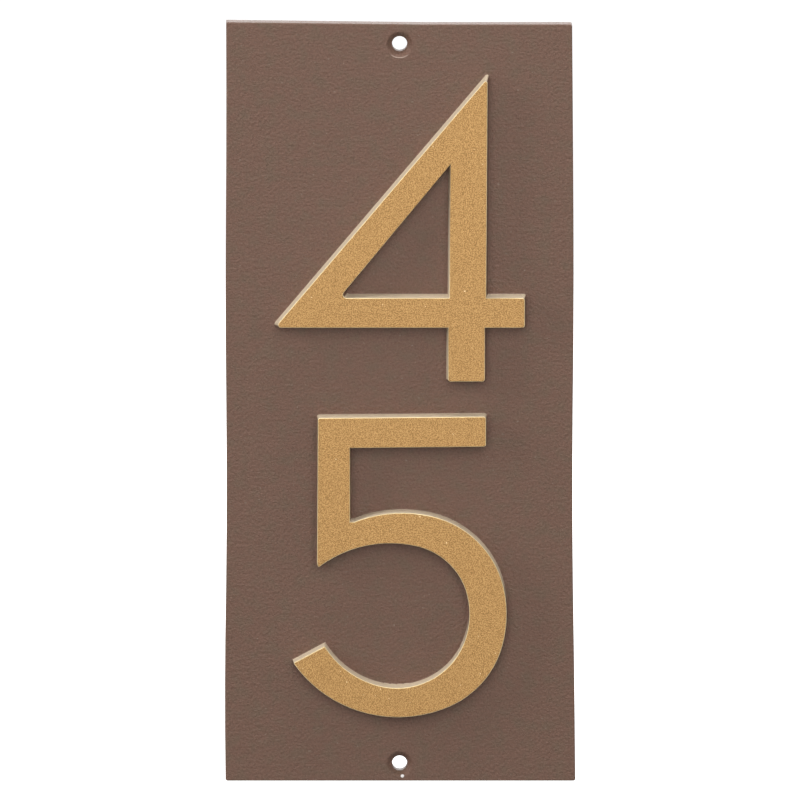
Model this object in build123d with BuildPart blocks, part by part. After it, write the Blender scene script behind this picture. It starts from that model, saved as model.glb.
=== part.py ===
"""Cast house-number plaque for a wall, upright, with a raised 4 above a raised 5.

The plaque is one sand casting: a flat plate with two drafted numerals and two
countersunk screw holes on its centre line. The whole casting is coated brown,
and the faces of the numerals then carry a thin coat of gold paint.

Millimetres. The back of the plate lies on the wall at Y = 0 and the front
looks along -Y. +Z is up. The origin is on the back, midway between the holes.
"""

import os
from math import cos, hypot, radians, sin

from build123d import *

os.makedirs("parts", exist_ok=True)

# Plate
plate_width = 114.4
plate_thickness = 5.0
plate_edge_round = 0.4
plate_corner_round = 0.75

# The sides of the casting wander. Each bow is how far a side stands out past
# half the width, at even steps from the foot of the plate to its top. Every
# pair of steps is one arc.
left_bow = [0.35, 0.5, 0.1, -0.2, -0.1, 0.05, -0.1, -0.3, -0.3]
right_bow = [0.9, 0.55, 0.05, -0.25, -0.15, 0.05, -0.05, -0.3, -0.6]
steps_per_arc = 2

# The top edge comes down from its left corner, then runs level to the right
top_left_lift = 0.75
top_slope_end = 6.0

# Countersunk screw holes
hole_diameter = 5.0
countersink_diameter = 8.4
countersink_angle = 90
countersink_lip_chamfer = 0.2

# Layout, from the foot of the plate up: to the centre of a screw hole, to the
# 5, to the 4, to the centre of the other hole, to the top of the plate.
foot_margin = 5.75
hole_to_five = 16.77
numeral_gap = 12.3
four_to_hole = 10.45
top_margin = 6.65

# Both numerals. The outer corners of a numeral are a little rounder than the
# edges that run round them, so that those edges turn each corner smoothly.
relief = 4.7
root_round = 0.4
face_edge_round = 0.3
end_extra_round = 0.5
paint_coat = 0.1

# The 4, from its foot up
four_draft = 7.0
four_foot_drop = 18.0
four_bar_depth = 9.85
four_height = 101.2
four_stem_right = 28.4
four_stem_width = 12.0
four_stem_lean = 0.4
four_counter_lean = 0.3
four_foot_inset = 0.4
four_bar_overhang = 12.7
four_reach = 69.4
four_stroke_low = 10.3
four_stroke_high = 8.9
four_counter_round = 1.2
four_tip_extra_round = 0.7
four_apex_extra_round = 0.35

# The 5, from its top down. Each side of its bowl is a run of tangent arcs: how
# far the radius of each is from the bowl's own, and how many degrees it turns.
five_draft = 4.0
five_left = -26.85
five_bar_length = 55.25
five_bar_depth = 10.0
five_bar_rise = 0.45
five_stem_width = 10.5
five_stem_drop = 48.5
five_stem_splay = 0.3
five_notch_drop = 34.9
five_bowl_radius = 34.4
five_bowl_stroke = 10.2
five_outer_setout = 1.35
five_outer_heading = 22.0
five_outer_eases = [7.9, -2.6, 6.7, -3.3, 7.3]
five_outer_turns = [35.2, 64.3, 27.9, 50.6, 79.8]
five_inner_drop = 50.2
five_inner_heading = 38.0
five_inner_eases = [14.4, -1.9, 2.9, -0.5, 5.7]
five_inner_turns = [51.2, 63.5, 34.7, 84.4, 42.8]
five_tip_extra_round = 0.05

# Faces this near to a depth are taken to lie on it
depth_tolerance = 0.01

# Rounds and depths that follow from those sizes
end_round = face_edge_round + end_extra_round
face_depth = plate_thickness + relief


def front_plane(depth, level):
    """A plane this deep in front of the wall that looks out from it, its origin this high."""
    return Plane(origin=(0, -depth, level), x_dir=(1, 0, 0), z_dir=(0, -1, 0))


def side_points(direction, bows):
    """Points up one side of the plate: direction is -1 on the left, 1 on the right."""
    steps = len(bows) - 1
    points = []
    for step, bow in enumerate(bows):
        level = plate_foot + (plate_top - plate_foot) * step / steps
        points.append((direction * (plate_width / 2 + bow), level))
    return points


def side_arcs(points):
    """Draws one side of the plate, each of its arcs through three points."""
    for first in range(0, len(points) - 1, steps_per_arc):
        ThreePointArc(*points[first : first + steps_per_arc + 1])


def bowl_side(start, heading, radius, eases, turns):
    """Draws one side of the bowl of the 5 clockwise from start, and returns its end."""
    for ease, turn in zip(eases, turns):
        direction = (cos(radians(heading)), sin(radians(heading)))
        arc = JernArc(start, direction, radius + ease, -turn)
        start = arc @ 1
        heading -= turn
    return start


def raise_numeral(drawing, face_plane, angle):
    """Stands a drawn numeral on the plate, its walls drafted outwards from its face down."""
    with BuildSketch(face_plane) as face:
        add(drawing.sketch)
    extrude(face.sketch, amount=-relief)
    draft(faces().filter_by(Axis.Y, reverse=True), face_plane, angle)


def upright_edges(raised, face_plane, corners):
    """The edges of a numeral that come up from the plate at these corners of its face."""
    edges = raised.edges().filter_by(lambda edge: edge.bounding_box().size.Y > relief / 2)
    chosen = []
    for corner in corners:
        place = face_plane.from_local_coords(Vector(*corner))
        chosen.append(edges.sort_by_distance(place)[0])
    return chosen


def flat_faces(part, depth):
    """Faces of a part that lie flat this deep in front of the wall, smallest first."""
    flat = part.faces().filter_by(Axis.Y)
    at_depth = flat.filter_by(lambda face: abs(face.center().Y + depth) < depth_tolerance)
    return at_depth.sort_by(SortBy.AREA)


# Corners of the 4. The slanted stroke narrows a little towards the top.
stem_left = four_stem_right - four_stem_width
foot_right = four_stem_right - four_foot_inset
foot_left = stem_left - four_foot_inset
bar_right = four_stem_right + four_bar_overhang
bar_bottom = four_foot_drop
bar_top = bar_bottom + four_bar_depth
apex = (four_stem_right + four_stem_lean, four_height)
tip = (four_stem_right - four_reach, bar_bottom)
slant_run = apex[0] - tip[0]
slant_rise = apex[1] - tip[1]
upright_share = hypot(slant_run, slant_rise) / slant_run
low_level = tip[1] - four_stroke_low * upright_share
stem_share = (stem_left - tip[0]) / slant_run
high_level = tip[1] + slant_rise * stem_share - four_stroke_high * upright_share
counter_slope = (high_level - low_level) / (stem_left - tip[0])
counter_left = (tip[0] + (bar_top - low_level) / counter_slope, bar_top)
counter_top = (stem_left + four_counter_lean, high_level)
counter_right = (stem_left, bar_top)

with BuildSketch() as four_drawing:
    with BuildLine():
        Polyline(
            tip,
            apex,
            (four_stem_right, bar_top),
            (bar_right, bar_top),
            (bar_right, bar_bottom),
            (foot_right, bar_bottom),
            (foot_right, 0),
            (foot_left, 0),
            (foot_left, bar_bottom),
            close=True,
        )
    make_face()
    with BuildLine():
        Polyline(counter_left, counter_top, counter_right, close=True)
    make_face(mode=Mode.SUBTRACT)

# Corners of the 5
five_right = five_left + five_bar_length
stem_right = five_left + five_stem_width
top_left = (five_left, 0)
top_right = (five_right, five_bar_rise)
low_right = (five_right, five_bar_rise - five_bar_depth)
armpit = (stem_right, -five_bar_depth)
notch = (stem_right, -five_notch_drop)
stem_foot = (five_left - five_stem_splay, -five_stem_drop)
outer_start = (stem_right + five_outer_setout, -five_notch_drop)
inner_start = (five_left, -five_inner_drop)
inner_radius = five_bowl_radius - five_bowl_stroke

with BuildSketch() as five_drawing:
    with BuildLine():
        outer_end = bowl_side(
            outer_start, five_outer_heading, five_bowl_radius, five_outer_eases, five_outer_turns
        )
        inner_end = bowl_side(
            inner_start, five_inner_heading, inner_radius, five_inner_eases, five_inner_turns
        )
        Line(outer_end, inner_end)
        Polyline(inner_start, stem_foot, top_left, top_right)
        Polyline(top_right, low_right, armpit, notch, outer_start)
    make_face()

# Levels that follow from the layout and the height of each numeral
five_height = -five_drawing.sketch.bounding_box().min.Y
hole_spacing = hole_to_five + five_height + numeral_gap + four_height + four_to_hole
plate_top = hole_spacing / 2 + top_margin
plate_foot = -hole_spacing / 2 - foot_margin
four_foot = hole_spacing / 2 - four_to_hole - four_height
five_top = four_foot - numeral_gap

# Outline of the plate
left_side = side_points(-1, left_bow)
right_side = side_points(1, right_bow)
left_top = (left_side[-1][0], plate_top + top_left_lift)
with BuildSketch(Plane.XZ) as plate_outline:
    with BuildLine():
        side_arcs([*left_side[:-1], left_top])
        Polyline(left_top, (top_slope_end, plate_top), right_side[-1])
        side_arcs(right_side)
        Line(right_side[0], left_side[0])
    make_face()
    fillet(plate_outline.vertices().group_by(Axis.Y)[0], plate_corner_round)
    right_top = plate_outline.vertices().sort_by_distance(right_side[-1])[0]
    fillet(right_top, plate_corner_round)

# The numerals, drafted so that the pattern lifts out of the sand
four_plane = front_plane(face_depth, four_foot)
with BuildPart() as four:
    raise_numeral(four_drawing, four_plane, four_draft)
    fillet(upright_edges(four, four_plane, [tip]), face_edge_round + four_tip_extra_round)
    fillet(upright_edges(four, four_plane, [apex]), face_edge_round + four_apex_extra_round)
    fillet(upright_edges(four, four_plane, [counter_left]), four_counter_round)
    foot_corners = [(foot_right, 0), (foot_left, 0)]
    bar_corners = [(bar_right, bar_top), (bar_right, bar_bottom)]
    fillet(upright_edges(four, four_plane, foot_corners + bar_corners), end_round)

five_plane = front_plane(face_depth, five_top)
with BuildPart() as five:
    raise_numeral(five_drawing, five_plane, five_draft)
    five_tips = [inner_start, outer_end, inner_end]
    fillet(upright_edges(five, five_plane, five_tips), face_edge_round + five_tip_extra_round)
    fillet(upright_edges(five, five_plane, [top_left, top_right, low_right]), end_round)

# The casting
with BuildPart() as plaque:
    extrude(plate_outline.sketch, amount=plate_thickness)
    add(four.part)
    add(five.part)
    counter_floor, field = flat_faces(plaque, plate_thickness)
    roots = counter_floor.edges()
    for wire in field.inner_wires():
        roots += wire.edges()
    fillet(roots, root_round)
    fillet(flat_faces(plaque, face_depth).edges(), face_edge_round)
    field = flat_faces(plaque, plate_thickness)[-1]
    fillet(field.outer_wire().edges(), plate_edge_round)
    with Locations(Plane.XZ.offset(plate_thickness)):
        with GridLocations(0, hole_spacing, 1, 2):
            CounterSinkHole(
                hole_diameter / 2,
                countersink_diameter / 2,
                plate_thickness,
                counter_sink_angle=countersink_angle,
            )
    field = flat_faces(plaque, plate_thickness)[-1]
    chamfer(field.edges().filter_by(lambda edge: edge.is_closed), countersink_lip_chamfer)

# The gold coat on each numeral, as far as the round of its edge
five_bare, four_bare = flat_faces(plaque, face_depth).sort_by(Axis.Z)
with BuildPart() as gold_paint_4:
    extrude(four_bare, amount=paint_coat)

with BuildPart() as gold_paint_5:
    extrude(five_bare, amount=paint_coat)

for name, piece in {
    "plaque": plaque,
    "gold_paint_4": gold_paint_4,
    "gold_paint_5": gold_paint_5,
}.items():
    piece.part.label = name
    export_step(piece.part, f"parts/{name}.step")
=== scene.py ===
# %% [markdown]
# # House number plaque: a lesson in finishing a casting
#
# The object is one aluminium casting, an upright plate with a raised 4 above a
# raised 5. A textured brown coat covers all of it, and gold paint lies on the
# faces of the numerals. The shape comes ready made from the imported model, so
# this lesson is mostly about paint: how a thick coat and a metallic paint are
# built from procedural nodes, and how plain studio light brings them out.
#
# Everything is in metres. +Z is up the wall, the numerals face -Y, and the
# origin is on the back, midway between the screw holes.

# %% Load the casting
import math

import bmesh
import bpy
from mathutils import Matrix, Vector


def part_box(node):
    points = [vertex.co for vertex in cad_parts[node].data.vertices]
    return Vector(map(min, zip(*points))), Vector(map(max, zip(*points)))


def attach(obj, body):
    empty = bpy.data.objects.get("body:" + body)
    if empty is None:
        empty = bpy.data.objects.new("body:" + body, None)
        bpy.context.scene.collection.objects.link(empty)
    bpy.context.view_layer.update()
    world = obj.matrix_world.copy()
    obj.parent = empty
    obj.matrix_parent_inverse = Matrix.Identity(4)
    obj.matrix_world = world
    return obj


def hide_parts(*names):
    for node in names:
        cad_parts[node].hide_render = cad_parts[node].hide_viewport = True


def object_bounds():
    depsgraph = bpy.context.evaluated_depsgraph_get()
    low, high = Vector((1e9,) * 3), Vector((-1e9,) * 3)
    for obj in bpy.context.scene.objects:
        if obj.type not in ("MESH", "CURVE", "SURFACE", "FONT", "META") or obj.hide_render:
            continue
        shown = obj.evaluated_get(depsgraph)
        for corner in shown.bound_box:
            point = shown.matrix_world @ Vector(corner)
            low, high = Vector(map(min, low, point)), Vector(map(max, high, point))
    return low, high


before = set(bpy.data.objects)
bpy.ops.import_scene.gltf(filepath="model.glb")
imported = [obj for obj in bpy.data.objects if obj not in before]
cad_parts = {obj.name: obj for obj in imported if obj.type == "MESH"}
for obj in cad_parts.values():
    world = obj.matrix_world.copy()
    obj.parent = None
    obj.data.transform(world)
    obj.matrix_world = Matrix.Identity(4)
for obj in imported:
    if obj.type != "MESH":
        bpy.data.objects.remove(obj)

CAD_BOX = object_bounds()
MM = 0.001
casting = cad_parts["plaque"]
print("casting spans", [round(side / MM, 1) for side in CAD_BOX[1] - CAD_BOX[0]], "mm")

# %% [markdown]
# ## Levels and places
#
# A finish often changes with depth: the paint stops where the face of a numeral
# turns down into its wall, and dust begins where that wall leaves the plate. The
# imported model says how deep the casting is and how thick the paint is. The
# thickness of the plate, the round along the edge of a numeral and the place of
# the upper screw hole are read off the drawing.

# %% Levels and places
FACE_DEPTH = -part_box("plaque")[0].y
PAINT_DEPTH = -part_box("gold_paint_4")[0].y
PAINT_THICKNESS = PAINT_DEPTH - FACE_DEPTH
PLATE_DEPTH = 5.0 * MM
EDGE_ROUND = 0.3 * MM
UPPER_HOLE = (0.0, 0.0, 120.65 * MM)
print("faces at", round(FACE_DEPTH / MM, 2), "mm, paint", round(PAINT_THICKNESS / MM, 2), "mm thick")

# %% [markdown]
# ## Writing shaders as sums
#
# A finish is easier to read as arithmetic than as a picture of wires. `Value`
# wraps one output socket, so that `0.4 + 0.2 * grain` adds the Math nodes it
# needs. Every other node comes from `Finish.node`, which sets the node up
# before it fills or links its sockets.


# %% Values and finishes
class Value:
    """A number or colour that varies over a surface."""

    def __init__(self, finish, socket):
        self.finish = finish
        self.socket = socket

    def __add__(self, other):
        return self.finish.math("ADD", self, other)

    def __rsub__(self, other):
        return self.finish.math("SUBTRACT", other, self)

    def __mul__(self, other):
        return self.finish.math("MULTIPLY", self, other)

    __radd__ = __add__
    __rmul__ = __mul__


class Finish:
    """The node tree of one material, or of the world."""

    def __init__(self, owner):
        owner.use_nodes = True
        self.owner = owner
        self.tree = owner.node_tree
        self.tree.nodes.clear()

    def node(self, kind, settings=None, sockets=None, output=0):
        """Adds a node: its settings first, then the values or links of its sockets."""
        made = self.tree.nodes.new(kind)
        for name, value in (settings or {}).items():
            setattr(made, name, value)
        for name, value in (sockets or {}).items():
            if isinstance(value, Value):
                self.tree.links.new(value.socket, made.inputs[name])
            else:
                made.inputs[name].default_value = value
        return Value(self, made.outputs[output]) if made.outputs else made

    def math(self, operation, first, second):
        """One Math node on two numbers or values."""
        return self.node("ShaderNodeMath", {"operation": operation}, {0: first, 1: second})

    def painted(self, sockets):
        """Ends a material in one Principled shader, and returns the material."""
        surface = self.node("ShaderNodeBsdfPrincipled", sockets=sockets)
        self.node("ShaderNodeOutputMaterial", sockets={"Surface": surface})
        print(self.owner.name, "has", len(self.tree.nodes), "nodes")
        return self.owner


# %% [markdown]
# Four small recipes make the patterns. `noise` is soft mottling with lumps of a
# given size, `span` stretches a part of a value's range to run from 0 to 1,
# `blend` mixes two colours, and `bump` turns a height into small hills. The
# noise reads Object coordinates, so the pattern is fixed to the metal.


# %% Recipes for patterns
def noise(finish, size, detail=2.0, roughness=0.5, shift=0.0):
    """Mottling, about 0 to 1, with lumps this many metres wide. A shift makes it another pattern."""
    place = finish.node("ShaderNodeTexCoord", output="Object")
    moved = finish.node("ShaderNodeVectorMath", {"operation": "ADD"}, {0: place, 1: (shift, shift, shift)})
    return finish.node(
        "ShaderNodeTexNoise",
        {"noise_dimensions": "3D"},
        {"Vector": moved, "Scale": 1 / size, "Detail": detail, "Roughness": roughness},
    )


def span(finish, value, low, high):
    """Runs smoothly from 0 where the value is low to 1 where it is high."""
    return finish.node(
        "ShaderNodeMapRange",
        {"interpolation_type": "SMOOTHSTEP"},
        {"Value": value, "From Min": low, "From Max": high},
    )


def blend(finish, factor, first, second):
    """A colour that goes from the first to the second as the factor goes from 0 to 1."""
    return finish.node(
        "ShaderNodeMix",
        {"data_type": "RGBA"},
        {0: factor, 6: first, 7: second},
        output=2,
    )


def bump(finish, height, depth):
    """Hills this many metres high, where the height goes from 0 to 1."""
    return finish.node("ShaderNodeBump", sockets={"Strength": 1.0, "Distance": depth, "Height": height})


# %% [markdown]
# Three more say where on the casting a point is. `along` gives one axis of its
# place, or of the way the surface faces there. `distance` measures from a
# centre. `outward_share` tells the faces, which look straight out from the wall,
# from the walls of the numerals, which stand square to it.


# %% Recipes for places
def along(finish, axis, of="Object"):
    """One axis of the place of a point, or of the way the surface faces there."""
    vector = finish.node("ShaderNodeTexCoord", output=of)
    return finish.node("ShaderNodeSeparateXYZ", sockets={0: vector}, output=axis)


def distance(finish, centre, counting=(1, 1, 1)):
    """How far a point is from a centre, in metres. An axis that counts 0 is left out."""
    place = finish.node("ShaderNodeTexCoord", output="Object")
    counted = finish.node("ShaderNodeVectorMath", {"operation": "MULTIPLY"}, {0: place, 1: counting})
    ends = {0: counted, 1: centre}
    return finish.node("ShaderNodeVectorMath", {"operation": "DISTANCE"}, ends, output="Value")


def outward_share(finish):
    """1 where a surface faces straight out from the wall, 0 where it stands square to it."""
    return 0.0 - along(finish, "Y", of="Normal")


# %% [markdown]
# ## The brown coat
#
# The coat is sprayed on thick and dries with a fine leathery texture, about 1 mm
# from lump to lump. Its brown drifts between a redder and a greener tone every
# few millimetres, a finer grain lightens and darkens it, and pale specks of grit
# lie in it.

# %% Tones of the brown coat
BROWN_WARM = (0.156, 0.086, 0.0605, 1)
BROWN_COOL = (0.143, 0.089, 0.0605, 1)
BROWN_SPECK = (0.26, 0.20, 0.15, 1)
DRIFT_SIZE = 5 * MM
DRIFT_SPAN = (0.40, 0.72)
GRAIN_SIZE = 0.65 * MM
GRAIN_DARKEST = 0.5
GRIT_SIZE = 1.1 * MM
GRIT_SPAN = (0.83, 0.90)
GRIT_SHARE = 0.5


def brown_tones(finish):
    """The colour of the coat where it is whole and clean."""
    drift = span(finish, noise(finish, DRIFT_SIZE, detail=3), *DRIFT_SPAN)
    base = blend(finish, drift, BROWN_WARM, BROWN_COOL)
    grain = noise(finish, GRAIN_SIZE, roughness=0.7, shift=11.3)
    shade = {0: base, "Scale": GRAIN_DARKEST + grain}
    toned = finish.node("ShaderNodeVectorMath", {"operation": "SCALE"}, shade)
    grit = span(finish, noise(finish, GRIT_SIZE, detail=0, shift=3.1), *GRIT_SPAN)
    return blend(finish, GRIT_SHARE * grit, toned, BROWN_SPECK)


# %% [markdown]
# The walls of the numerals that face up, and those of the 4 that face left, are painted pale: a painted
# sheen of the light from above and the left. Three masks find them: the way a wall faces, how square it
# stands to the plate, and how far it is above the plate. The 5 gets no painted sheen from the left, so
# that part fades out between the numerals.

# %% Painted sheen on the walls
# Colour of the painted sheen: pale paint on the walls that face the light.
PAINTED_SHEEN = (0.66, 0.545, 0.395, 1)
PAINTED_SHEEN_SHARE = 0.85
SHEEN_FROM_LEFT = 0.6
SHEEN_FADE = 8 * MM
TOWARDS_SPAN = (0.0, 0.35)
FACE_SPAN = (0.6, 0.95)
ABOVE_PLATE = (PLATE_DEPTH + 0.05 * MM, PLATE_DEPTH + 0.3 * MM)
PATCH_SIZE = 2 * MM
PATCH_THINNEST = 0.85
PATCH_RANGE = 0.3


def painted_sheen_on_walls(finish):
    """About 1, unevenly, on the walls painted pale as a sheen of light from above and the left, fading to
    0 elsewhere.
    """
    upwards = along(finish, "Z", of="Normal")
    leftwards = 0.0 - along(finish, "X", of="Normal")
    on_four = span(finish, along(finish, "Z"), 0.0, SHEEN_FADE)
    towards = upwards + SHEEN_FROM_LEFT * leftwards * on_four
    upright = 1.0 - span(finish, outward_share(finish), *FACE_SPAN)
    raised = span(finish, 0.0 - along(finish, "Y"), *ABOVE_PLATE)
    patches = PATCH_THINNEST + PATCH_RANGE * noise(finish, PATCH_SIZE, detail=3, shift=17.9)
    return span(finish, towards, *TOWARDS_SPAN) * upright * raised * patches


# %% [markdown]
# Two small marks are painted light, and a mask of distance places them: a painted highlight along the
# bottom of the lip of the upper screw hole, and a small painted glint at the lip of the lower one.

# %% Painted highlight on the upper lip and painted glint on the lower
# Colour of the painted highlight along the bottom of the upper lip.
LIP_HIGHLIGHT = (0.42, 0.31, 0.25, 1)
LIP_RADIUS = 4.4 * MM
LIP_WIDTH = 0.3 * MM
LIP_DROP = (0.7 * LIP_RADIUS, 0.9 * LIP_RADIUS)
# A painted glint: a small pale spot at the lip of the lower screw hole.
PAINTED_GLINT = (0.85, 0.82, 0.80, 1)
GLINT_PLACE = (0.9 * MM, -4.9 * MM, -124.7 * MM)
GLINT_EDGE = (0.42 * MM, 0.7 * MM)


def painted_lip_highlight(finish):
    """1 along the bottom of the lip of the upper screw hole, where a highlight is painted."""
    away = distance(finish, UPPER_HOLE, counting=(1, 0, 1))
    drop = UPPER_HOLE[2] - along(finish, "Z")
    inside = span(finish, away, LIP_RADIUS - LIP_WIDTH, LIP_RADIUS)
    outside = span(finish, away, LIP_RADIUS, LIP_RADIUS + LIP_WIDTH)
    return inside * (1.0 - outside) * span(finish, drop, *LIP_DROP)


def glint_at_lower_lip(finish):
    """1 on the small painted glint at the lip of the lower screw hole."""
    return 1.0 - span(finish, distance(finish, GLINT_PLACE), *GLINT_EDGE)


# %% [markdown]
# The layers go on in this order: the coat, the painted sheen on its walls, then the painted highlight
# along the upper lip and the painted glint at the lower one. The leathery lumps are too low to change the
# outline, so bump does for them. A slow swell under them keeps the plate from looking ruled flat. The
# casting keeps its imported mesh.

# %% Brown coat
LEATHER_SIZE = 1.0 * MM
SWELL_SIZE = 11 * MM
SWELL_SHARE = 0.5
LEATHER_DEPTH = 0.36 * MM
COAT_ROUGHNESS = 0.42
COAT_MATTING = 0.1
COAT_SHEEN = 0.25
LACQUER_IOR = 1.5


def brown_coat():
    """Textured satin brown coat over the whole casting."""
    finish = Finish(bpy.data.materials.new("brown_coat"))
    # The pale walls are a painted sheen of light from above and the left.
    sheened = blend(finish, PAINTED_SHEEN_SHARE * painted_sheen_on_walls(finish), brown_tones(finish), PAINTED_SHEEN)
    lip_lit = blend(finish, painted_lip_highlight(finish), sheened, LIP_HIGHLIGHT)
    glinted = blend(finish, glint_at_lower_lip(finish), lip_lit, PAINTED_GLINT)
    leather = noise(finish, LEATHER_SIZE, roughness=0.6)
    swell = noise(finish, SWELL_SIZE, detail=1, shift=7.7)
    return finish.painted(
        {
            "Base Color": glinted,
            "Roughness": COAT_ROUGHNESS + COAT_MATTING * leather,
            "IOR": LACQUER_IOR,
            "Specular IOR Level": COAT_SHEEN,
            "Normal": bump(finish, leather + SWELL_SHARE * swell, LEATHER_DEPTH),
        }
    )


casting.data.materials.clear()
casting.data.materials.append(brown_coat())

# %% [markdown]
# ## The gold paint
#
# Gold paint is clear lacquer full of metal flakes. From a step away it looks like matt metal with a fine
# grain, and here and there one flake faces the light and shines. The paint is thin and rubbed where it
# turns over the edge of a numeral, and the edge is painted paler there, partly for that wear and partly as
# a painted highlight: `outward_share` finds that edge by the way the surface faces.

# %% Gold paint
GOLD_DEEP = (0.203, 0.102, 0.026, 1)
GOLD_LIGHT = (0.464, 0.271, 0.095, 1)
GOLD_FLECK = (0.80, 0.61, 0.34, 1)
# Rubbed paint and a painted highlight along the rounded edge of the gold.
GOLD_RUBBED_AND_HIGHLIT = (0.80, 0.68, 0.40, 1)
FLAKE_SIZE = 0.34 * MM
FLAKE_SPAN = (0.3, 0.7)
FLECK_SIZE = 0.7 * MM
FLECK_SPAN = (0.87, 0.92)
EDGE_SPAN = (0.70, 0.97)
FLOW_SIZE = 4 * MM
FLOW_SHARE = 2.0
FLAKE_DEPTH = 0.012 * MM
FLAKE_METAL = 0.55
PAINT_ROUGHNESS = 0.42
PAINT_MATTING = 0.12


def gold_paint():
    """Satin metallic gold paint."""
    finish = Finish(bpy.data.materials.new("gold_paint"))
    flakes = noise(finish, FLAKE_SIZE, detail=1, roughness=0.6)
    base = blend(finish, span(finish, flakes, *FLAKE_SPAN), GOLD_DEEP, GOLD_LIGHT)
    flecks = span(finish, noise(finish, FLECK_SIZE, detail=0, shift=5.3), *FLECK_SPAN)
    flecked = blend(finish, flecks, base, GOLD_FLECK)
    edge = 1.0 - span(finish, outward_share(finish), *EDGE_SPAN)
    flow = noise(finish, FLOW_SIZE, detail=1, shift=1.9)
    return finish.painted(
        {
            "Base Color": blend(finish, edge, flecked, GOLD_RUBBED_AND_HIGHLIT),
            "Metallic": FLAKE_METAL,
            "Roughness": PAINT_ROUGHNESS + PAINT_MATTING * flakes,
            "IOR": LACQUER_IOR,
            "Normal": bump(finish, flakes + FLOW_SHARE * flow, FLAKE_DEPTH),
        }
    )


gold = gold_paint()

# %% [markdown]
# ## Gold skins
#
# Real paint doesn't stop in a sharp step. It wraps over the rounded edge of a
# numeral and thins out where the wall begins. So each skin is lifted from the
# casting itself: the faces above the wall are copied, and the copy is pushed out
# by the thickness of the paint, less and less towards its rim. The faces left
# behind, turned over, are its lining, and the two close on the casting at the
# rim.

# %% Lift the faces of a numeral off the casting
WELD = 0.001 * MM
RIM_DEPTH = FACE_DEPTH - EDGE_ROUND
REACH = 2 * EDGE_ROUND


def numeral_face(node):
    """A merged copy of the casting, cut down to the face and edge of the numeral at this coat."""
    low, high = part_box(node)
    skin = bmesh.new()
    skin.from_mesh(casting.data)
    bmesh.ops.remove_doubles(skin, verts=skin.verts, dist=WELD)
    away = []
    for face in skin.faces:
        middle = face.calc_center_median()
        on_numeral = low.z - REACH < middle.z < high.z + REACH
        if -middle.y < RIM_DEPTH or not on_numeral:
            away.append(face)
    bmesh.ops.delete(skin, geom=away, context="FACES")
    skin.normal_update()
    return skin


def paint_build(point):
    """How thick the paint is at a point, from none at the rim to all of it on the face."""
    share = (-point.y - RIM_DEPTH) / EDGE_ROUND
    return PAINT_THICKNESS * min(1.0, max(0.0, share))


def thicken(skin):
    """Pushes the faces out by the build of the paint, and leaves a lining where they were."""
    outwards = {vert: vert.normal.copy() for vert in skin.verts}
    copied = bmesh.ops.duplicate(skin, geom=skin.verts[:] + skin.edges[:] + skin.faces[:])
    lining = [item for item in copied["geom"] if isinstance(item, bmesh.types.BMFace)]
    bmesh.ops.reverse_faces(skin, faces=lining)
    for vert, direction in outwards.items():
        vert.co += direction * paint_build(vert.co)
    bmesh.ops.remove_doubles(skin, verts=skin.verts, dist=WELD)


def gold_skin(name, node):
    """A closed skin of paint on the numeral that this packed coat marks."""
    skin = numeral_face(node)
    thicken(skin)
    mesh = bpy.data.meshes.new(name)
    skin.to_mesh(mesh)
    skin.free()
    for polygon in mesh.polygons:
        polygon.use_smooth = True
    mesh.materials.append(gold)
    piece = bpy.data.objects.new(name, mesh)
    bpy.context.scene.collection.objects.link(piece)
    piece.modifiers.new("even shading", "WEIGHTED_NORMAL")
    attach(piece, "root")
    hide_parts(node)
    print(name, "has", len(mesh.polygons), "faces")


gold_skin("gold_skin_4", "gold_paint_4")
gold_skin("gold_skin_5", "gold_paint_5")

# %% [markdown]
# ## The studio
#
# A pale floor well below the plaque catches its shadow. What the camera sees
# past the plaque is plain white: the world and the floor show as white to the
# camera, and to mirror reflections too, but they throw little light back on the
# plaque, so the shadows under the numerals keep their depth. The floor glows
# less near the plaque, where its shadow falls.

# %% Floor
FLOOR_LEVEL = CAD_BOX[0].z - 0.15
FLOOR_SIZE = 30.0
FLOOR_SEEN = (0.6, 0.6, 0.6, 1)
FLOOR_UNSEEN = (0.1, 0.1, 0.1, 1)
WHITE = (1, 1, 1, 1)
GLOW_NEAR = 0.7
GLOW_FADE = (0.2, 0.65)
SEEN_RAYS = ("Is Camera Ray", "Is Glossy Ray", "Is Transmission Ray")


def seen_directly(finish):
    """1 for what the camera sees, straight, in a reflection or through glass, and else 0."""
    straight, mirrored, through = [finish.node("ShaderNodeLightPath", output=ray) for ray in SEEN_RAYS]
    return straight + mirrored + through


def floor_finish():
    """A matt surface that glows for the camera alone."""
    finish = Finish(bpy.data.materials.new("pale_floor"))
    seen = seen_directly(finish)
    colour = blend(finish, seen, FLOOR_UNSEEN, FLOOR_SEEN)
    matt = finish.node("ShaderNodeBsdfDiffuse", sockets={"Color": colour})
    far = span(finish, distance(finish, (0, 0, FLOOR_LEVEL)), *GLOW_FADE)
    strength = (GLOW_NEAR + (1 - GLOW_NEAR) * far) * seen
    glow = finish.node("ShaderNodeEmission", sockets={"Color": WHITE, "Strength": strength})
    surface = finish.node("ShaderNodeAddShader", sockets={0: matt, 1: glow})
    finish.node("ShaderNodeOutputMaterial", sockets={"Surface": surface})
    return finish.owner


def pale_floor():
    """A wide floor that looks white but keeps a shadow."""
    sheet = bmesh.new()
    bmesh.ops.create_grid(sheet, x_segments=1, y_segments=1, size=FLOOR_SIZE / 2)
    bmesh.ops.translate(sheet, verts=sheet.verts, vec=(0, 0, FLOOR_LEVEL))
    mesh = bpy.data.meshes.new("floor")
    sheet.to_mesh(mesh)
    sheet.free()
    mesh.materials.append(floor_finish())
    floor = bpy.data.objects.new("floor", mesh)
    bpy.context.scene.collection.objects.link(floor)
    print("floor at", round(FLOOR_LEVEL / MM), "mm")


pale_floor()

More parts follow.
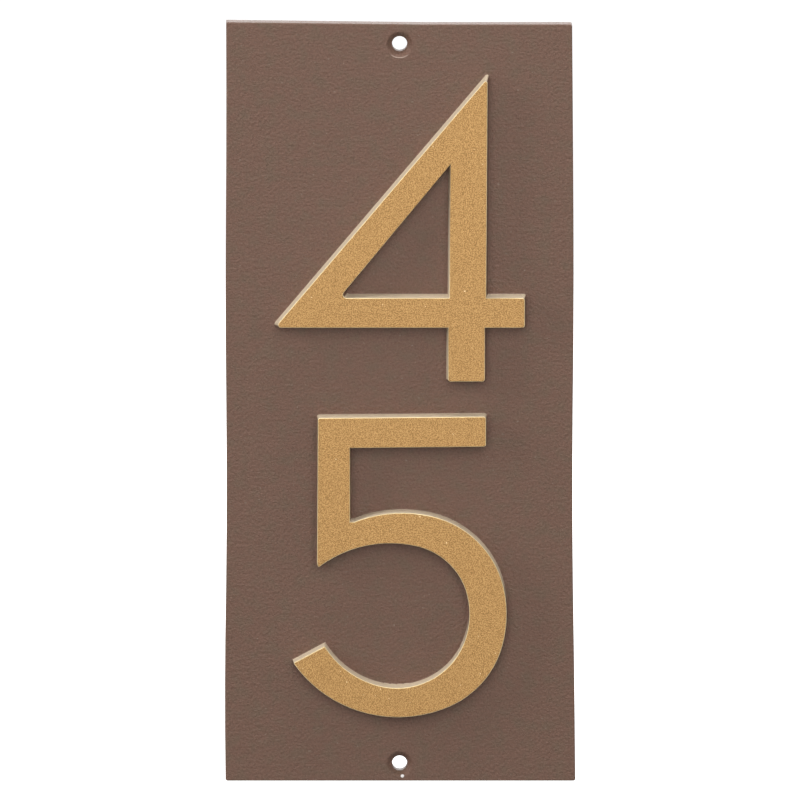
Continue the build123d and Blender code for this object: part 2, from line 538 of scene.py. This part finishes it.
# %% [markdown]
# The world is treated in the same way. What is left of its light for the plaque
# is a faint, even fill.

# %% World
AMBIENT = 0.04


def white_world():
    """White where the camera looks, and a faint even light on the object."""
    world = bpy.data.worlds.new("studio")
    bpy.context.scene.world = world
    finish = Finish(world)
    strength = AMBIENT + (1 - AMBIENT) * seen_directly(finish)
    sky = finish.node("ShaderNodeBackground", sockets={"Color": WHITE, "Strength": strength})
    finish.node("ShaderNodeOutputWorld", sockets={"Surface": sky})
    print("world gives the plaque", AMBIENT, "of what the camera sees")


white_world()

# %% [markdown]
# ## Lamps
#
# One large softbox above the camera lights the faces and draws a short soft
# shadow under each numeral. Three narrow lamps stand nearly in the plane of the
# plate, one above it and one on either side. They hardly reach its face, but
# they brighten the walls of the numerals and the edges of the plate, and the
# one above draws a bright line along each upper edge of the gold. The last lamp
# lights the back, and the top edge of the plate.

# %% Lamps
LAMP_DISTANCE = 1.5


def soft_lamp(name, azimuth, elevation, width, height, power):
    """A lamp aimed at the plaque. Azimuth 0 is straight in front, and -90 is on the left."""
    turn, lift = math.radians(azimuth), math.radians(elevation)
    away = Vector((math.sin(turn) * math.cos(lift), -math.cos(turn) * math.cos(lift), math.sin(lift)))
    data = bpy.data.lights.new(name, "AREA")
    data.shape = "RECTANGLE"
    data.size = width
    data.size_y = height
    data.energy = power
    lamp = bpy.data.objects.new(name, data)
    lamp.location = away * LAMP_DISTANCE
    lamp.rotation_euler = away.to_track_quat("Z", "Y").to_euler()
    bpy.context.scene.collection.objects.link(lamp)
    print(name, "at", [round(part, 2) for part in lamp.location])


soft_lamp("front_softbox", azimuth=0, elevation=25, width=1.6, height=1.5, power=21.5)
soft_lamp("top_graze", azimuth=-8, elevation=84, width=1.0, height=0.15, power=10)
soft_lamp("left_side", azimuth=-74, elevation=25, width=0.3, height=0.8, power=10)
soft_lamp("right_side", azimuth=70, elevation=25, width=0.3, height=0.8, power=3)
soft_lamp("back_softbox", azimuth=180, elevation=25, width=1.7, height=1.6, power=18)

# %% [markdown]
# ## The camera
#
# The plaque is seen from a little above, through a long lens: the walls that
# face up show, and those that face down don't.

# %% Camera
VIEW_ELEVATION = 11.0
VIEW_DISTANCE = 6.0
AIM = Vector((0.000131, -0.005, 0.001888))
LENS = 820.12
SENSOR = 36.0
CLIP = (0.1, 100)


def long_lens_camera():
    """The camera at the photograph's angle."""
    lift = math.radians(VIEW_ELEVATION)
    away = Vector((0, -math.cos(lift), math.sin(lift)))
    data = bpy.data.cameras.new("camera")
    data.lens = LENS
    data.sensor_width = SENSOR
    data.clip_start, data.clip_end = CLIP
    camera = bpy.data.objects.new("camera", data)
    camera.location = AIM + away * VIEW_DISTANCE
    camera.rotation_euler = away.to_track_quat("Z", "Y").to_euler()
    bpy.context.scene.collection.objects.link(camera)
    bpy.context.scene.camera = camera
    print("camera at", [round(part, 3) for part in camera.location])


long_lens_camera()
bpy.context.scene.view_settings.view_transform = "Standard"
